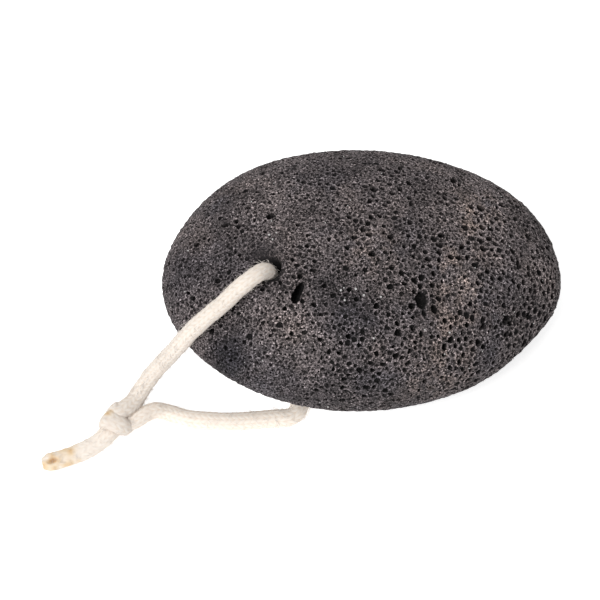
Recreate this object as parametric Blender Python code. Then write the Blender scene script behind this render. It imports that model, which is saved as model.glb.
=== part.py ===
"""Pumice foot stone on a cotton hanging cord.

One oval stone, drilled through near its left end, lies on its worn underside. A soft
braided cord runs up through the hole and down over the end of the stone. Its two ends are
tied in one small knot beside the stone, and a short tail runs on from the knot.

Metres, +Z up, +X along the stone's length. The origin is on the resting face, below the
middle of the stone.
"""
import math

import bmesh
import bpy
import numpy as np
from mathutils import Matrix, Vector

MM = 0.001

# The stone's form: an egg with three half sizes, its rim ground flatter in four places.
HALF_LENGTH = 51.8 * MM
HALF_WIDTH = 36.2 * MM
HALF_THICKNESS = 20.3 * MM
LEAN = math.radians(5.5)  # the corded end lies a little higher
REST_DEPTH = 1.2 * MM  # what is worn off the underside
# The corners of the flat face worn under it, at Z = 0, and how much higher its border lies.
REST_CORNERS = ((-5.5, -6.0), (9.5, -10.2), (24.5, -6.0), (24.5, 6.0), (9.5, 10.2), (-5.5, 6.0))
REST_BORDER = 0.15 * MM
# Each ground place: degrees round from +X, spread in degrees, depth at the rim.
GROUND_FLATS = (
    (12.0, 24.0, 3.0 * MM),
    (160.0, 26.0, 2.1 * MM),
    (300.0, 40.0, 4.1 * MM),
    (335.0, 26.0, 4.7 * MM),
)

# The pores: pits that touch at their rims, with a small land left between each three.
CELLS = 860
FINE_SPACING = 0.85  # at the corded end, against 1 at the middle
COARSE_SPACING = 1.15  # at the far end
TRIES = 14  # the best of this many places is kept for each pit
PIT_SEED = 7
PIT_DEPTHS = (0.35, 0.62)  # least and most, in widths of the pit
SOLID_SHARE = 0.05  # of the cells have no pit
# The large old bubbles: degrees round, degrees up, clear width, depth.
LARGE_PITS = (
    (159.0, 58.0, 3.6 * MM, 2.4 * MM),
    (227.0, 57.0, 4.2 * MM, 3.2 * MM),
    (295.0, 63.0, 4.6 * MM, 3.0 * MM),
    (355.0, 47.0, 3.8 * MM, 2.4 * MM),
)

# The drilled hole for the cord, with its mouths worn round.
BORE_TOP = Vector((-22.7, -8.0, 39.2)) * MM
BORE_BOTTOM = Vector((-18.2, -16.4, 4.2)) * MM
BORE_RADIUS = 3.0 * MM
TOP_MOUTH_RADIUS = 3.7 * MM
TOP_MOUTH_WORN = Vector((-0.85, -0.53, 0.0))  # the way the strand pulls as it leaves
TOP_MOUTH_DEPTH = 4.4 * MM
BOTTOM_MOUTH_RADIUS = 6.0 * MM
BOTTOM_MOUTH_DEPTH = 8.0 * MM
BORE_SIDES = 16
SOLID_RIM = 3.0 * MM  # no pits this close to a mouth
REST_RIM = 0.5 * MM  # no pits below this height

# The cord: its route from the tied end, through the stone, to the tip of the tail.
CORD_DIAMETER = 4.2 * MM
CORD_ROUTE = (
    (-58.2, -32.4, 4.7),
    (-56.0, -31.7, 4.7),
    (-54.2, -30.4, 4.8),
    (-52.6, -29.2, 4.6),
    (-50.7, -28.3, 4.1),
    (-48.4, -28.2, 3.1),
    (-45.9, -28.8, 2.5),
    (-43.4, -29.5, 2.2),
    (-40.6, -30.0, 2.2),
    (-36.0, -30.3, 2.2),
    (-31.0, -30.4, 2.2),
    (-26.2, -30.0, 2.2),
    (-21.8, -29.6, 2.2),
    (-18.6, -29.4, 2.2),
    (-16.4, -28.1, 2.2),
    (-15.4, -25.5, 2.2),
    (-15.1, -22.4, 2.5),
    (-15.9, -19.3, 3.8),
    (-17.2, -16.8, 7.2),
    (-18.7, -14.9, 11.9),
    (-19.6, -13.1, 19.0),
    (-20.6, -10.8, 27.5),
    (-22.0, -9.2, 33.0),
    (-22.8, -8.9, 36.6),
    (-23.8, -9.9, 39.9),
    (-25.7, -11.9, 41.4),
    (-27.7, -13.4, 41.0),
    (-30.2, -14.9, 39.5),
    (-33.2, -17.0, 37.3),
    (-36.4, -18.7, 35.0),
    (-39.4, -20.1, 32.3),
    (-41.8, -20.9, 29.2),
    (-43.9, -21.2, 25.1),
    (-46.2, -21.3, 20.5),
    (-48.6, -21.4, 16.0),
    (-50.9, -22.0, 12.1),
    (-52.9, -23.2, 9.1),
    (-54.6, -25.0, 7.1),
    (-55.9, -27.0, 6.0),
    (-57.1, -29.0, 5.3),
    (-58.5, -30.7, 4.9),
    (-59.9, -32.2, 4.7),
    (-61.3, -33.7, 4.3),
    (-62.6, -35.0, 3.7),
    (-64.2, -36.3, 3.1),
    (-66.4, -37.7, 2.6),
    (-69.0, -39.0, 2.4),
    (-72.0, -40.3, 2.4),
    (-75.2, -41.3, 2.4),
    (-77.9, -42.0, 2.4),
)
ROUTE_STEPS = 24  # fine points read between two route points
CORD_STEP = 3.6 * MM  # between the rings of the solid
END_STRAIGHT = 0.6 * MM  # squares each end face to the cord
CORD_ROUNDNESS = 2  # the bevel resolution: eight sides
FACE_GAP = 0.3 * MM  # left where two solids meet

# The knot, along the same route: turns of the tied end hold the strand that runs to the tail.
LOOP_START = 5.6 * MM
KNOT_START = 147.5 * MM
KNOT_END = 158.7 * MM
SQUEEZED_RADIUS = 1.8 * MM
TURN_RADIUS = 1.7 * MM
TURN_REACH = 2.9 * MM  # from the strand's centre to the turns' own
TURN_PITCH = 3.4 * MM
TURNS_FROM = math.radians(60.0)  # 0 is the side towards the loop's lower strand, 90 is up
TURNS_TO = math.radians(545.0)
TURN_POINTS = 30

EGG_SIZES = np.array([HALF_LENGTH, HALF_WIDTH, HALF_THICKNESS])

STONE_COLOUR = (0.075, 0.066, 0.068, 1.0)
STONE_ROUGHNESS = 0.95
COTTON_COLOUR = (0.84, 0.74, 0.63, 1.0)
COTTON_ROUGHNESS = 0.85


def clear_scene():
    for obj in list(bpy.data.objects):
        bpy.data.objects.remove(obj, do_unlink=True)


def make_material(name, colour, roughness):
    material = bpy.data.materials.new(name)
    material.use_nodes = True
    shader = material.node_tree.nodes["Principled BSDF"]
    shader.inputs["Base Color"].default_value = colour
    shader.inputs["Roughness"].default_value = roughness
    shader.inputs["Metallic"].default_value = 0.0
    return material


def add_object(name, data, material=None):
    obj = bpy.data.objects.new(name, data)
    bpy.context.scene.collection.objects.link(obj)
    if material:
        data.materials.append(material)
    return obj


# ---------------------------------------------------------------- the stone's form


def direction(round_deg, up_deg):
    """The unit vector that many degrees round from +X and up from level."""
    a, e = math.radians(round_deg), math.radians(up_deg)
    return np.array([math.cos(e) * math.cos(a), math.cos(e) * math.sin(a), math.sin(e)])


def leaned(points):
    """Points turned about Y, so that the corded end rises."""
    x, y, z = points[..., 0], points[..., 1], points[..., 2]
    c, s = math.cos(LEAN), math.sin(LEAN)
    return np.stack([x * c + z * s, y, z * c - x * s], -1)


def egg_normals(dirs):
    """Outward normals of the egg, before the ground flats, for unit vectors."""
    n = dirs / EGG_SIZES
    return n / np.linalg.norm(n, axis=-1, keepdims=True)


def stone_surface(dirs):
    """The stone's smooth surface in the directions given, about the egg's centre."""
    level = np.hypot(dirs[..., 0], dirs[..., 1])
    around = np.degrees(np.arctan2(dirs[..., 1], dirs[..., 0]))
    ground = np.zeros(dirs.shape[:-1])
    for round_deg, spread, depth in GROUND_FLATS:
        away = (around - round_deg + 180.0) % 360.0 - 180.0
        ground += depth * np.exp(-((away / spread) ** 2)) * level
    outward = np.stack([np.cos(np.radians(around)), np.sin(np.radians(around)), 0.0 * around], -1)
    return leaned(dirs * EGG_SIZES - outward * ground[..., None])


def stone_shift():
    """The move that centres the stone over the origin, with its worn underside at Z = 0."""
    up, around = np.meshgrid(np.linspace(-90, 90, 181), np.linspace(0, 360, 361))
    e, a = np.radians(up), np.radians(around)
    dirs = np.stack([np.cos(e) * np.cos(a), np.cos(e) * np.sin(a), np.sin(e)], -1)
    points = stone_surface(dirs).reshape(-1, 3)
    low, high = points.min(0), points.max(0)
    middle = (low + high) / 2
    return -np.array([middle[0], middle[1], low[2] + REST_DEPTH])


# ---------------------------------------------------------------- the pores


def random_directions(rng, count):
    """Random unit vectors, spread evenly over the egg's surface."""
    dirs = rng.normal(size=(count * 4, 3))
    dirs /= np.linalg.norm(dirs, axis=1, keepdims=True)
    area = np.linalg.norm(dirs / EGG_SIZES, axis=1) * HALF_THICKNESS  # 1 at the top
    return dirs[rng.random(len(dirs)) < area][:count]


def spacing(points):
    """How far apart the pores lie, against 1 at the middle: finer at the corded end."""
    share = np.clip(points[:, 0] / HALF_LENGTH, -1.0, 1.0)
    return 1.0 + np.where(share < 0, share * (1.0 - FINE_SPACING), share * (COARSE_SPACING - 1.0))


def pore_sites(rng):
    """One direction for each pore: the large pits first, then even random places."""
    large = np.array([direction(p[0], p[1]) for p in LARGE_PITS])
    dirs, points = [d for d in large], [p for p in stone_surface(large)]
    room = [p[2] * 0.28 for p in LARGE_PITS]
    for _ in range(CELLS - len(LARGE_PITS)):
        tries = random_directions(rng, TRIES)
        places = stone_surface(tries)
        gaps = np.linalg.norm(places[:, None] - np.array(points)[None], axis=2)
        clear = (gaps - np.array(room)[None]).min(axis=1) / spacing(places)
        best = int(clear.argmax())
        dirs.append(tries[best])
        points.append(places[best])
        room.append(0.0)
    return np.array(dirs)


def joined_sites(dirs):
    """A closed triangle net through the sites, as a bmesh on the stone's surface."""
    net = bmesh.new()
    for d in dirs:
        net.verts.new(d)
    bmesh.ops.convex_hull(net, input=net.verts)
    net.verts.ensure_lookup_table()
    net.verts.index_update()
    for vert, place in zip(net.verts, stone_surface(dirs)):
        vert.co = place
    bmesh.ops.beautify_fill(net, faces=net.faces, edges=net.edges, method="ANGLE")
    net.edges.ensure_lookup_table()
    net.edges.index_update()
    return net


def ring_of_edges(vert):
    """The edges round a vertex, in order."""
    loop = vert.link_loops[0]
    first, edges = loop, []
    while True:
        edges.append(loop.edge)
        loop = loop.link_loop_prev.link_loop_radial_next
        if loop == first:
            return edges


def is_solid(place, is_large, chance):
    """True where a cell has no pit: on the resting face, at a mouth, and here and there."""
    if is_large:
        return False
    mouths = ((BORE_TOP, TOP_MOUTH_RADIUS), (BORE_BOTTOM, BOTTOM_MOUTH_RADIUS))
    if any((place - middle).length < radius + SOLID_RIM for middle, radius in mouths):
        return True
    return place.z < REST_RIM or chance < SOLID_SHARE


def pitted_stone():
    """The stone's mesh: a ring round each site, with its middle sunk to make a pit."""
    rng = np.random.default_rng(PIT_SEED)
    shift = stone_shift()
    dirs = pore_sites(rng)
    net = joined_sites(dirs)
    between = np.array([dirs[e.verts[0].index] + dirs[e.verts[1].index] for e in net.edges])
    between /= np.linalg.norm(between, axis=1, keepdims=True)
    inward = -leaned(egg_normals(dirs))

    body = bmesh.new()
    rim = [body.verts.new(Vector((x, y, max(z, REST_BORDER)))) for x, y, z in
           stone_surface(between) + shift]
    for vert, surface, inner in zip(net.verts, stone_surface(dirs) + shift, inward):
        place = Vector(surface)
        ring = [rim[edge.index] for edge in ring_of_edges(vert)]
        width = 2 * sum((corner.co - place).length for corner in ring) / len(ring)
        depth = width * rng.uniform(*PIT_DEPTHS)
        is_large = vert.index < len(LARGE_PITS)
        if is_large:
            depth = LARGE_PITS[vert.index][3]
        if is_solid(place, is_large, rng.random()):
            body.faces.new(ring)
            continue
        middle = body.verts.new(place + Vector(inner) * depth)
        for one, two in zip(ring, ring[1:] + ring[:1]):
            body.faces.new((one, two, middle))
    for face in net.faces:
        body.faces.new([rim[edge.index] for edge in face.edges])
    net.free()
    return body


def flatten_rest(body):
    """Put one flat face with few corners in place of the small faces of the worn underside.

    A stone stands still on a few corners far apart, and rolls about on many close together.
    """
    top = REST_BORDER + 0.01 * MM
    level = [f for f in body.faces if all(v.co.z < top for v in f.verts)]
    joined = bmesh.ops.dissolve_faces(body, faces=level, use_verts=True)["region"]
    worn = max(joined, key=lambda face: face.calc_area())
    border = list(worn.edges)
    bmesh.ops.delete(body, geom=[worn], context="FACES_ONLY")
    corners = [body.verts.new((x * MM, y * MM, 0.0)) for x, y in REST_CORNERS]
    sides = [body.edges.new(pair) for pair in zip(corners, corners[1:] + corners[:1])]
    bmesh.ops.bridge_loops(body, edges=border + sides)
    body.faces.new(corners)


def centre_on_origin(body):
    """Move the finished net, so that its own box is centred over the origin."""
    xs = [v.co.x for v in body.verts]
    ys = [v.co.y for v in body.verts]
    move = Vector((-(min(xs) + max(xs)) / 2, -(min(ys) + max(ys)) / 2, 0.0))
    bmesh.ops.translate(body, verts=body.verts, vec=move)


def bore_cutter():
    """A cutter for the hole: a shank that flares at both mouths, the top one all to one side."""
    long = (BORE_BOTTOM - BORE_TOP).length
    turn = Vector((0.0, 0.0, 1.0)).rotation_difference(BORE_BOTTOM - BORE_TOP)
    worn = turn.inverted() @ TOP_MOUTH_WORN
    past = 4.0 * MM
    top_flare, bottom_flare = TOP_MOUTH_RADIUS - BORE_RADIUS, BOTTOM_MOUTH_RADIUS - BORE_RADIUS
    profile = (
        (-past, TOP_MOUTH_RADIUS + past * 0.5),
        (0.0, TOP_MOUTH_RADIUS),
        (TOP_MOUTH_DEPTH * 0.45, BORE_RADIUS + top_flare * 0.35),
        (TOP_MOUTH_DEPTH, BORE_RADIUS),
        (long - BOTTOM_MOUTH_DEPTH, BORE_RADIUS),
        (long - BOTTOM_MOUTH_DEPTH * 0.45, BORE_RADIUS + bottom_flare * 0.35),
        (long, BOTTOM_MOUTH_RADIUS),
        (long + past, BOTTOM_MOUTH_RADIUS + past * 0.5),
    )
    net = bmesh.new()
    rings = []
    for height, radius in profile:
        made = bmesh.ops.create_circle(net, segments=BORE_SIDES, radius=radius)["verts"]
        aside = worn * (radius - BORE_RADIUS) if height < TOP_MOUTH_DEPTH else Vector()
        bmesh.ops.translate(net, verts=made, vec=aside + Vector((0.0, 0.0, height)))
        rings.append(made)
    for upper, lower in zip(rings, rings[1:]):
        for k in range(BORE_SIDES):
            n = (k + 1) % BORE_SIDES
            net.faces.new((upper[k], upper[n], lower[n], lower[k]))
    net.faces.new(rings[0])
    net.faces.new(rings[-1])
    bmesh.ops.recalc_face_normals(net, faces=net.faces)
    bmesh.ops.transform(net, matrix=Matrix.Translation(BORE_TOP) @ turn.to_matrix().to_4x4(),
                        verts=net.verts)
    return as_mesh(net, "bore_cutter")


def as_mesh(net, name):
    mesh = bpy.data.meshes.new(name)
    net.to_mesh(mesh)
    net.free()
    return mesh


def hide_helper(obj):
    obj.hide_render = True
    obj.display_type = "WIRE"


def cut_with(obj, other, operation):
    boolean = obj.modifiers.new(operation.lower() + "_" + other.name, "BOOLEAN")
    boolean.operation = operation
    boolean.solver = "EXACT"
    boolean.use_self = operation == "UNION"
    boolean.object = other


def make_stone(material):
    body = pitted_stone()
    centre_on_origin(body)
    flatten_rest(body)
    bmesh.ops.recalc_face_normals(body, faces=body.faces)
    stone = add_object("pumice_stone", as_mesh(body, "pumice_stone"), material)
    cutter = add_object("bore_cutter", bore_cutter())
    hide_helper(cutter)
    cut_with(stone, cutter, "DIFFERENCE")
    return stone


# ---------------------------------------------------------------- the cord and its knot


def smooth_route():
    """Fine points on one smooth curve through the route, and how far along each lies."""
    route = [Vector(p) * MM for p in CORD_ROUTE]
    ends = [route[0] * 2 - route[1]] + route + [route[-1] * 2 - route[-2]]
    fine = []
    for before, start, end, after in zip(ends, ends[1:], ends[2:], ends[3:]):
        for k in range(ROUTE_STEPS):
            t = k / ROUTE_STEPS
            fine.append(0.5 * (2 * start + (end - before) * t
                               + (2 * before - 5 * start + 4 * end - after) * t ** 2
                               + (3 * start - before - 3 * end + after) * t ** 3))
    fine.append(route[-1])
    run = [0.0]
    for one, two in zip(fine, fine[1:]):
        run.append(run[-1] + (two - one).length)
    return fine, run


def along(fine, run, distance):
    """The point that far along the route."""
    for k in range(1, len(run)):
        if run[k] >= distance:
            part = (distance - run[k - 1]) / (run[k] - run[k - 1])
            return fine[k - 1].lerp(fine[k], part)
    return fine[-1].copy()


def stretch(fine, run, start, end):
    """Points of the route between two distances, with a short straight piece at each end."""
    inner, outer = start + END_STRAIGHT, end - END_STRAIGHT
    count = max(2, round((outer - inner) / CORD_STEP))
    places = [start] + [inner + (outer - inner) * k / count for k in range(count + 1)] + [end]
    return [along(fine, run, place) for place in places]


def tube(name, points, radii):
    """A round solid along the points, with closed flat ends."""
    curve = bpy.data.curves.new(name, "CURVE")
    curve.dimensions = "3D"
    curve.bevel_depth = 1.0
    curve.bevel_resolution = CORD_ROUNDNESS
    curve.use_fill_caps = True
    spline = curve.splines.new("POLY")
    spline.points.add(len(points) - 1)
    for item, place, radius in zip(spline.points, points, radii):
        item.co = (*place, 1.0)
        item.radius = radius
    return curve


def make_cord(name, points, material):
    half = CORD_DIAMETER / 2
    return add_object(name, tube(name, points, [half] * len(points)), material)


def knot_frame(fine, run):
    """The knot's centre, the strand's direction there, and the two directions across it."""
    centre = along(fine, run, (KNOT_START + KNOT_END) / 2)
    ahead = (along(fine, run, KNOT_END) - along(fine, run, KNOT_START)).normalized()
    side = Vector((0.0, 0.0, 1.0)).cross(ahead).normalized()
    return centre, ahead, side, ahead.cross(side).normalized()


def turn_points(fine, run):
    """The centreline of the turns round the strand."""
    centre, ahead, side, up = knot_frame(fine, run)
    points = []
    for k in range(TURN_POINTS):
        share = k / (TURN_POINTS - 1)
        angle = TURNS_FROM + (TURNS_TO - TURNS_FROM) * share
        shift = (angle - (TURNS_FROM + TURNS_TO) / 2) / (2 * math.pi) * TURN_PITCH
        across = side * math.cos(angle) + up * math.sin(angle)
        points.append(centre + ahead * shift + across * TURN_REACH)
    return points


def solid_of(curve, name):
    """The closed, smooth-shaded mesh of a bevelled curve."""
    helper = bpy.data.objects.new(name, curve)
    mesh = bpy.data.meshes.new_from_object(helper)
    bpy.data.objects.remove(helper)
    net = bmesh.new()
    net.from_mesh(mesh)
    bmesh.ops.remove_doubles(net, verts=net.verts, dist=0.001 * MM)
    bmesh.ops.recalc_face_normals(net, faces=net.faces)
    net.to_mesh(mesh)
    net.free()
    mesh.name = name
    return mesh


def make_knot(fine, run, material):
    """The squeezed strand, the turns round it and the end that goes under them, as one."""
    half = CORD_DIAMETER / 2
    core = stretch(fine, run, KNOT_START + FACE_GAP, KNOT_END - FACE_GAP)
    ends = (0, 1, len(core) - 2, len(core) - 1)
    radii = [half if k in ends else SQUEEZED_RADIUS for k in range(len(core))]
    knot = add_object("knot", solid_of(tube("knot", core, radii), "knot"), material)
    turns = turn_points(fine, run)
    tucked = stretch(fine, run, 0.0, LOOP_START - FACE_GAP)
    for name, points, radius in (("turns", turns, TURN_RADIUS), ("tucked_end", tucked, half)):
        curve = tube(name, points, [radius] * len(points))
        helper = add_object(name, solid_of(curve, name))
        hide_helper(helper)
        cut_with(knot, helper, "UNION")
    return knot


def main():
    clear_scene()
    pumice = make_material("pumice", STONE_COLOUR, STONE_ROUGHNESS)
    cotton = make_material("cotton", COTTON_COLOUR, COTTON_ROUGHNESS)
    make_stone(pumice)
    fine, run = smooth_route()
    make_cord("cord_loop", stretch(fine, run, LOOP_START, KNOT_START), cotton)
    make_cord("cord_tail", stretch(fine, run, KNOT_END, run[-1]), cotton)
    make_knot(fine, run, cotton)


main()
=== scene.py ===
# %% [markdown]
# # A pumice foot stone on a cotton cord
# Pumice is volcanic glass that froze while it was full of gas. A foot stone is a lump of it,
# ground to an oval that fits the hand, drilled through near one end, and hung on a soft
# braided cord. This lesson builds both from rules: the stone's form is one formula, its
# pores are grown by a Geometry Nodes tree, and the cord is a tube with a braid pressed
# into it. Lengths are in metres, +Z is up, and the stone rests on Z = 0.

# %% Load the solid model that everything here is fitted to
import math

import bmesh
import bpy
import numpy as np
from mathutils import Matrix, Vector


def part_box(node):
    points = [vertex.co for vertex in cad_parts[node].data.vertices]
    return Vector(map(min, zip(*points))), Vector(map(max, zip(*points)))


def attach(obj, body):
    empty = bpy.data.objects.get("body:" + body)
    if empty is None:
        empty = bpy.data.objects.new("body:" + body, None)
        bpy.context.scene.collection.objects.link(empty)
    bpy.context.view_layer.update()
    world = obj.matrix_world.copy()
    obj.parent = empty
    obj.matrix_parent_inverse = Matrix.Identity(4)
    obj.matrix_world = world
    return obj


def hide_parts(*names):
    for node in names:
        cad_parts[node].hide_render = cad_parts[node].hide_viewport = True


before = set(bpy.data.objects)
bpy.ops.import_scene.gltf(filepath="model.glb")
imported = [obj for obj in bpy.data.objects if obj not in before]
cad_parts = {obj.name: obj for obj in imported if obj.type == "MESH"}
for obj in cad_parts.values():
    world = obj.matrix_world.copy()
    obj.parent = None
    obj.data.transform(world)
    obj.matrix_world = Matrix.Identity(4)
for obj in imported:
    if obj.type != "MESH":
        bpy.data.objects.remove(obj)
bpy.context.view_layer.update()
MM = 0.001


# %% [markdown]
# ## The camera
# A long lens from well back keeps the oval true, as for a catalogue picture: the eye is
# 600 mm away and 60 degrees above the table, so the top and the front rim both show.
# The camera is aimed by turning its own -Z axis at a point beside the stone.

# %% Camera
AIM = Vector((-15.4, 5.25, 0.0)) * MM
EYE_DISTANCE = 600 * MM
EYE_RISE = math.radians(60)
FILM_WIDTH = 36.0  # the lens is measured against this, in millimetres
LENS_LENGTH = 142.2
NEAREST_SEEN = 10 * MM


def make_camera():
    lens = bpy.data.cameras.new("camera")
    lens.sensor_width = FILM_WIDTH
    lens.lens = LENS_LENGTH
    lens.clip_start = NEAREST_SEEN
    eye = bpy.data.objects.new("camera", lens)
    back = Vector((0.0, -math.cos(EYE_RISE), math.sin(EYE_RISE)))
    eye.location = AIM + back * EYE_DISTANCE
    eye.rotation_mode = "QUATERNION"
    eye.rotation_quaternion = (-back).to_track_quat("-Z", "Y")
    bpy.context.scene.collection.objects.link(eye)
    bpy.context.scene.camera = eye
    return eye


camera = make_camera()
print("camera at, mm:", [round(v / MM) for v in camera.location])


# %% [markdown]
# ## Where the cord runs
# The cord starts inside the knot, comes back along the table, ducks under the stone, goes up
# the drilled hole, over the stone's shoulder and down again, through the knot, and ends in
# a short tail. The route is a list of points read off a real cord, and a Catmull-Rom curve
# passes smoothly through every one of them, which a Bezier curve would only do with handles.

# %% Route of the cord
CORD_ROUTE = (
    (-58.2, -32.4, 4.7), (-56.0, -31.7, 4.7), (-54.2, -30.4, 4.8), (-52.6, -29.2, 4.6),
    (-50.7, -28.3, 4.1), (-48.4, -28.2, 3.1), (-45.9, -28.8, 2.5), (-43.4, -29.5, 2.2),
    (-40.6, -30.0, 2.2), (-36.0, -30.3, 2.2), (-31.0, -30.4, 2.2), (-26.2, -30.0, 2.2),
    (-21.8, -29.6, 2.2), (-18.6, -29.4, 2.2), (-16.4, -28.1, 2.2), (-15.4, -25.5, 2.2),
    (-15.1, -22.4, 2.5), (-15.9, -19.3, 3.8), (-17.2, -16.8, 7.2), (-18.7, -14.9, 11.9),
    (-19.6, -13.1, 19.0), (-20.6, -10.8, 27.5), (-22.0, -9.2, 33.0), (-22.8, -8.9, 36.6),
    (-23.8, -9.9, 39.9), (-25.7, -11.9, 41.4), (-27.7, -13.4, 41.0), (-30.2, -14.9, 39.5),
    (-33.2, -17.0, 37.3), (-36.4, -18.7, 35.0), (-39.4, -20.1, 32.3), (-41.8, -20.9, 29.2),
    (-43.9, -21.2, 25.1), (-46.2, -21.3, 20.5), (-48.6, -21.4, 16.0), (-50.9, -22.0, 12.1),
    (-52.9, -23.2, 9.1), (-54.6, -25.0, 7.1), (-55.9, -27.0, 6.0), (-57.1, -29.0, 5.3),
    (-58.5, -30.7, 4.9), (-59.9, -32.2, 4.7), (-61.3, -33.7, 4.3), (-62.6, -35.0, 3.7),
    (-64.2, -36.3, 3.1), (-66.4, -37.7, 2.6), (-69.0, -39.0, 2.4), (-72.0, -40.3, 2.4),
    (-75.2, -41.3, 2.4), (-77.9, -42.0, 2.4),
)
CORD_DIAMETER = 4.2 * MM
RING_STEP = 0.3 * MM


def catmull_rom(points, steps=24):
    """Fine points on the smooth curve that passes through all the points given."""
    points = np.array(points)
    ends = np.vstack([2 * points[0] - points[1], points, 2 * points[-1] - points[-2]])
    t = (np.arange(steps) / steps)[:, None]
    fine = []
    for before, start, end, after in zip(ends, ends[1:], ends[2:], ends[3:]):
        fine.append(0.5 * (2 * start + (end - before) * t
                           + (2 * before - 5 * start + 4 * end - after) * t ** 2
                           + (3 * start - before - 3 * end + after) * t ** 3))
    return np.vstack(fine + [points[-1:]])


def even_steps(fine, step):
    """The same curve with its points the same distance apart, and how far along each lies."""
    hops = np.linalg.norm(np.diff(fine[:, :3], axis=0), axis=1)
    run = np.concatenate([[0.0], np.cumsum(hops)])
    at = np.linspace(0.0, run[-1], round(run[-1] / step) + 1)
    return np.stack([np.interp(at, run, column) for column in fine.T], -1), at


cord_path, cord_run = even_steps(catmull_rom(np.array(CORD_ROUTE) * MM), RING_STEP)
print("cord:", round(cord_run[-1] / MM, 1), "mm long in", len(cord_path), "rings")


# %% [markdown]
# ## A braided tube
# A tube is a row of rings. Each ring needs two directions across the path, and those are
# carried from ring to ring with as little turning as possible (parallel transport), so the
# braid doesn't spiral by accident. The braid itself is a height pattern: columns of short
# stitches run round the cord, and the stitches of neighbouring columns lean opposite ways,
# which the eye reads as small V shapes. Real thread could be modelled strand by strand, but
# at this size the relief alone catches the light in the same way.

# %% Rings, braid relief and the tube builder
AROUND = 48  # corners in a ring
COLUMNS = 12  # of stitches round the cord
STITCH = 1.5 * MM
STITCH_LEAN = 0.9  # stitches that a stitch leans by, across its column
BRAID_DEPTH = 0.15 * MM
LUMPS = ((0.03, 9), (0.025, 4))  # share of the width, and rings from one lump to the next


def across_directions(path):
    """Unit vectors along the path, and a steady one across it, at every ring."""
    along = np.gradient(path, axis=0)
    along /= np.linalg.norm(along, axis=1, keepdims=True)
    across = np.zeros_like(along)
    side = np.cross([0.0, 0.0, 1.0], along[0])
    for k, forward in enumerate(along):
        side = side - forward * side.dot(forward)
        side /= np.linalg.norm(side)
        across[k] = side
    return along, across


def braid_height(turn, run):
    """0 in the grooves and 1 on the crests, for a share of a turn and a distance along."""
    column = turn * COLUMNS
    part = column % 1.0
    lean = np.where(np.floor(column) % 2 == 0, part, 1.0 - part)
    bar = np.abs(np.sin(np.pi * (run / STITCH + lean * STITCH_LEAN)))
    return bar ** 0.6 * (0.45 + 0.55 * np.sin(np.pi * part) ** 0.5)


def soft_noise(rng, count, every):
    """A smooth random line of that many values, between -1 and 1."""
    knots = rng.uniform(-1.0, 1.0, count // every + 3)
    return np.interp(np.arange(count) / every, np.arange(len(knots)), knots)


def tube_rings(path, run, press, wide, high, seed):
    """Corner places of every ring, and the braid height there.

    press is the direction in which the tube is squeezed, wide and high its two half sizes.
    A press shorter than 1 squeezes less.
    """
    rng = np.random.default_rng(seed)
    along, across = across_directions(path)
    other = np.cross(along, across)
    turn = np.arange(AROUND) / AROUND
    circle = (across[:, None] * np.cos(2 * np.pi * turn)[None, :, None]
              + other[:, None] * np.sin(2 * np.pi * turn)[None, :, None])
    height = braid_height(turn[None, :] + 0.0 * run[:, None], run[:, None])
    lumps = 1.0 + sum(share * soft_noise(rng, len(path), every) for share, every in LUMPS)[:, None]
    squeezed = press - along * (press * along).sum(1, keepdims=True)
    firm = np.linalg.norm(squeezed, axis=1, keepdims=True)
    squeezed = squeezed / np.maximum(firm, 1e-6)
    inward = (circle * squeezed[:, None]).sum(2, keepdims=True) * squeezed[:, None]
    shape = circle * wide[:, None, None] + inward * (high - wide)[:, None, None] * firm[:, None]
    shape *= (lumps - BRAID_DEPTH / CORD_DIAMETER * 2 * (1.0 - height))[:, :, None]
    return path[:, None] + shape, height


def skin(name, rings, painted_groove_shade, stain, darkening, run):
    """A closed mesh over the rings, with its painted groove shade, stain and darkening kept as
    attributes.
    """
    count = len(rings)
    verts = [tuple(p) for ring in rings for p in ring]
    faces, uvs = [], []
    for i in range(count - 1):
        for k in range(AROUND):
            n = (k + 1) % AROUND
            faces.append((i * AROUND + k, i * AROUND + n, (i + 1) * AROUND + n,
                          (i + 1) * AROUND + k))
            uvs += [(k / AROUND, run[i]), ((k + 1) / AROUND, run[i]),
                    ((k + 1) / AROUND, run[i + 1]), (k / AROUND, run[i + 1])]
    for ring, turned in ((0, True), (count - 1, False)):
        middle = len(verts)
        verts.append(tuple(np.mean(rings[ring], axis=0)))
        for k in range(AROUND):
            one, two = ring * AROUND + k, ring * AROUND + (k + 1) % AROUND
            faces.append((two, one, middle) if turned else (one, two, middle))
            uvs += [(k / AROUND, run[ring])] * 3
    mesh = bpy.data.meshes.new(name)
    mesh.from_pydata(verts, [], faces)
    mesh.uv_layers.new(name="braid").data.foreach_set("uv", np.array(uvs, float).ravel())
    for label, values in (("painted_groove_shade", painted_groove_shade), ("stain", stain), ("darkening", darkening)):
        flat = np.concatenate([values.ravel(), values[0, :1], values[-1, :1]])
        mesh.attributes.new(label, "FLOAT", "POINT").data.foreach_set("value", flat)
    mesh.polygons.foreach_set("use_smooth", [True] * len(faces))
    mesh.update()
    obj = bpy.data.objects.new(name, mesh)
    bpy.context.scene.collection.objects.link(obj)
    return obj


print("a ring has", AROUND, "corners and", COLUMNS, "columns of stitches")


# %% [markdown]
# ## The cord
# Soft cotton is never the same thickness all along. It is flattened where it lies on the
# table, thin where it goes through the hole, and fuller in the slack of the tail. The last
# few millimetres were dipped to stop fraying: they are stiff, brownish and wrinkled, and
# the cut end has dried into a small hollow that faces up.

# %% Cord
KNOT_START = 147.5 * MM  # along the cord
KNOT_END = 158.7 * MM
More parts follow.
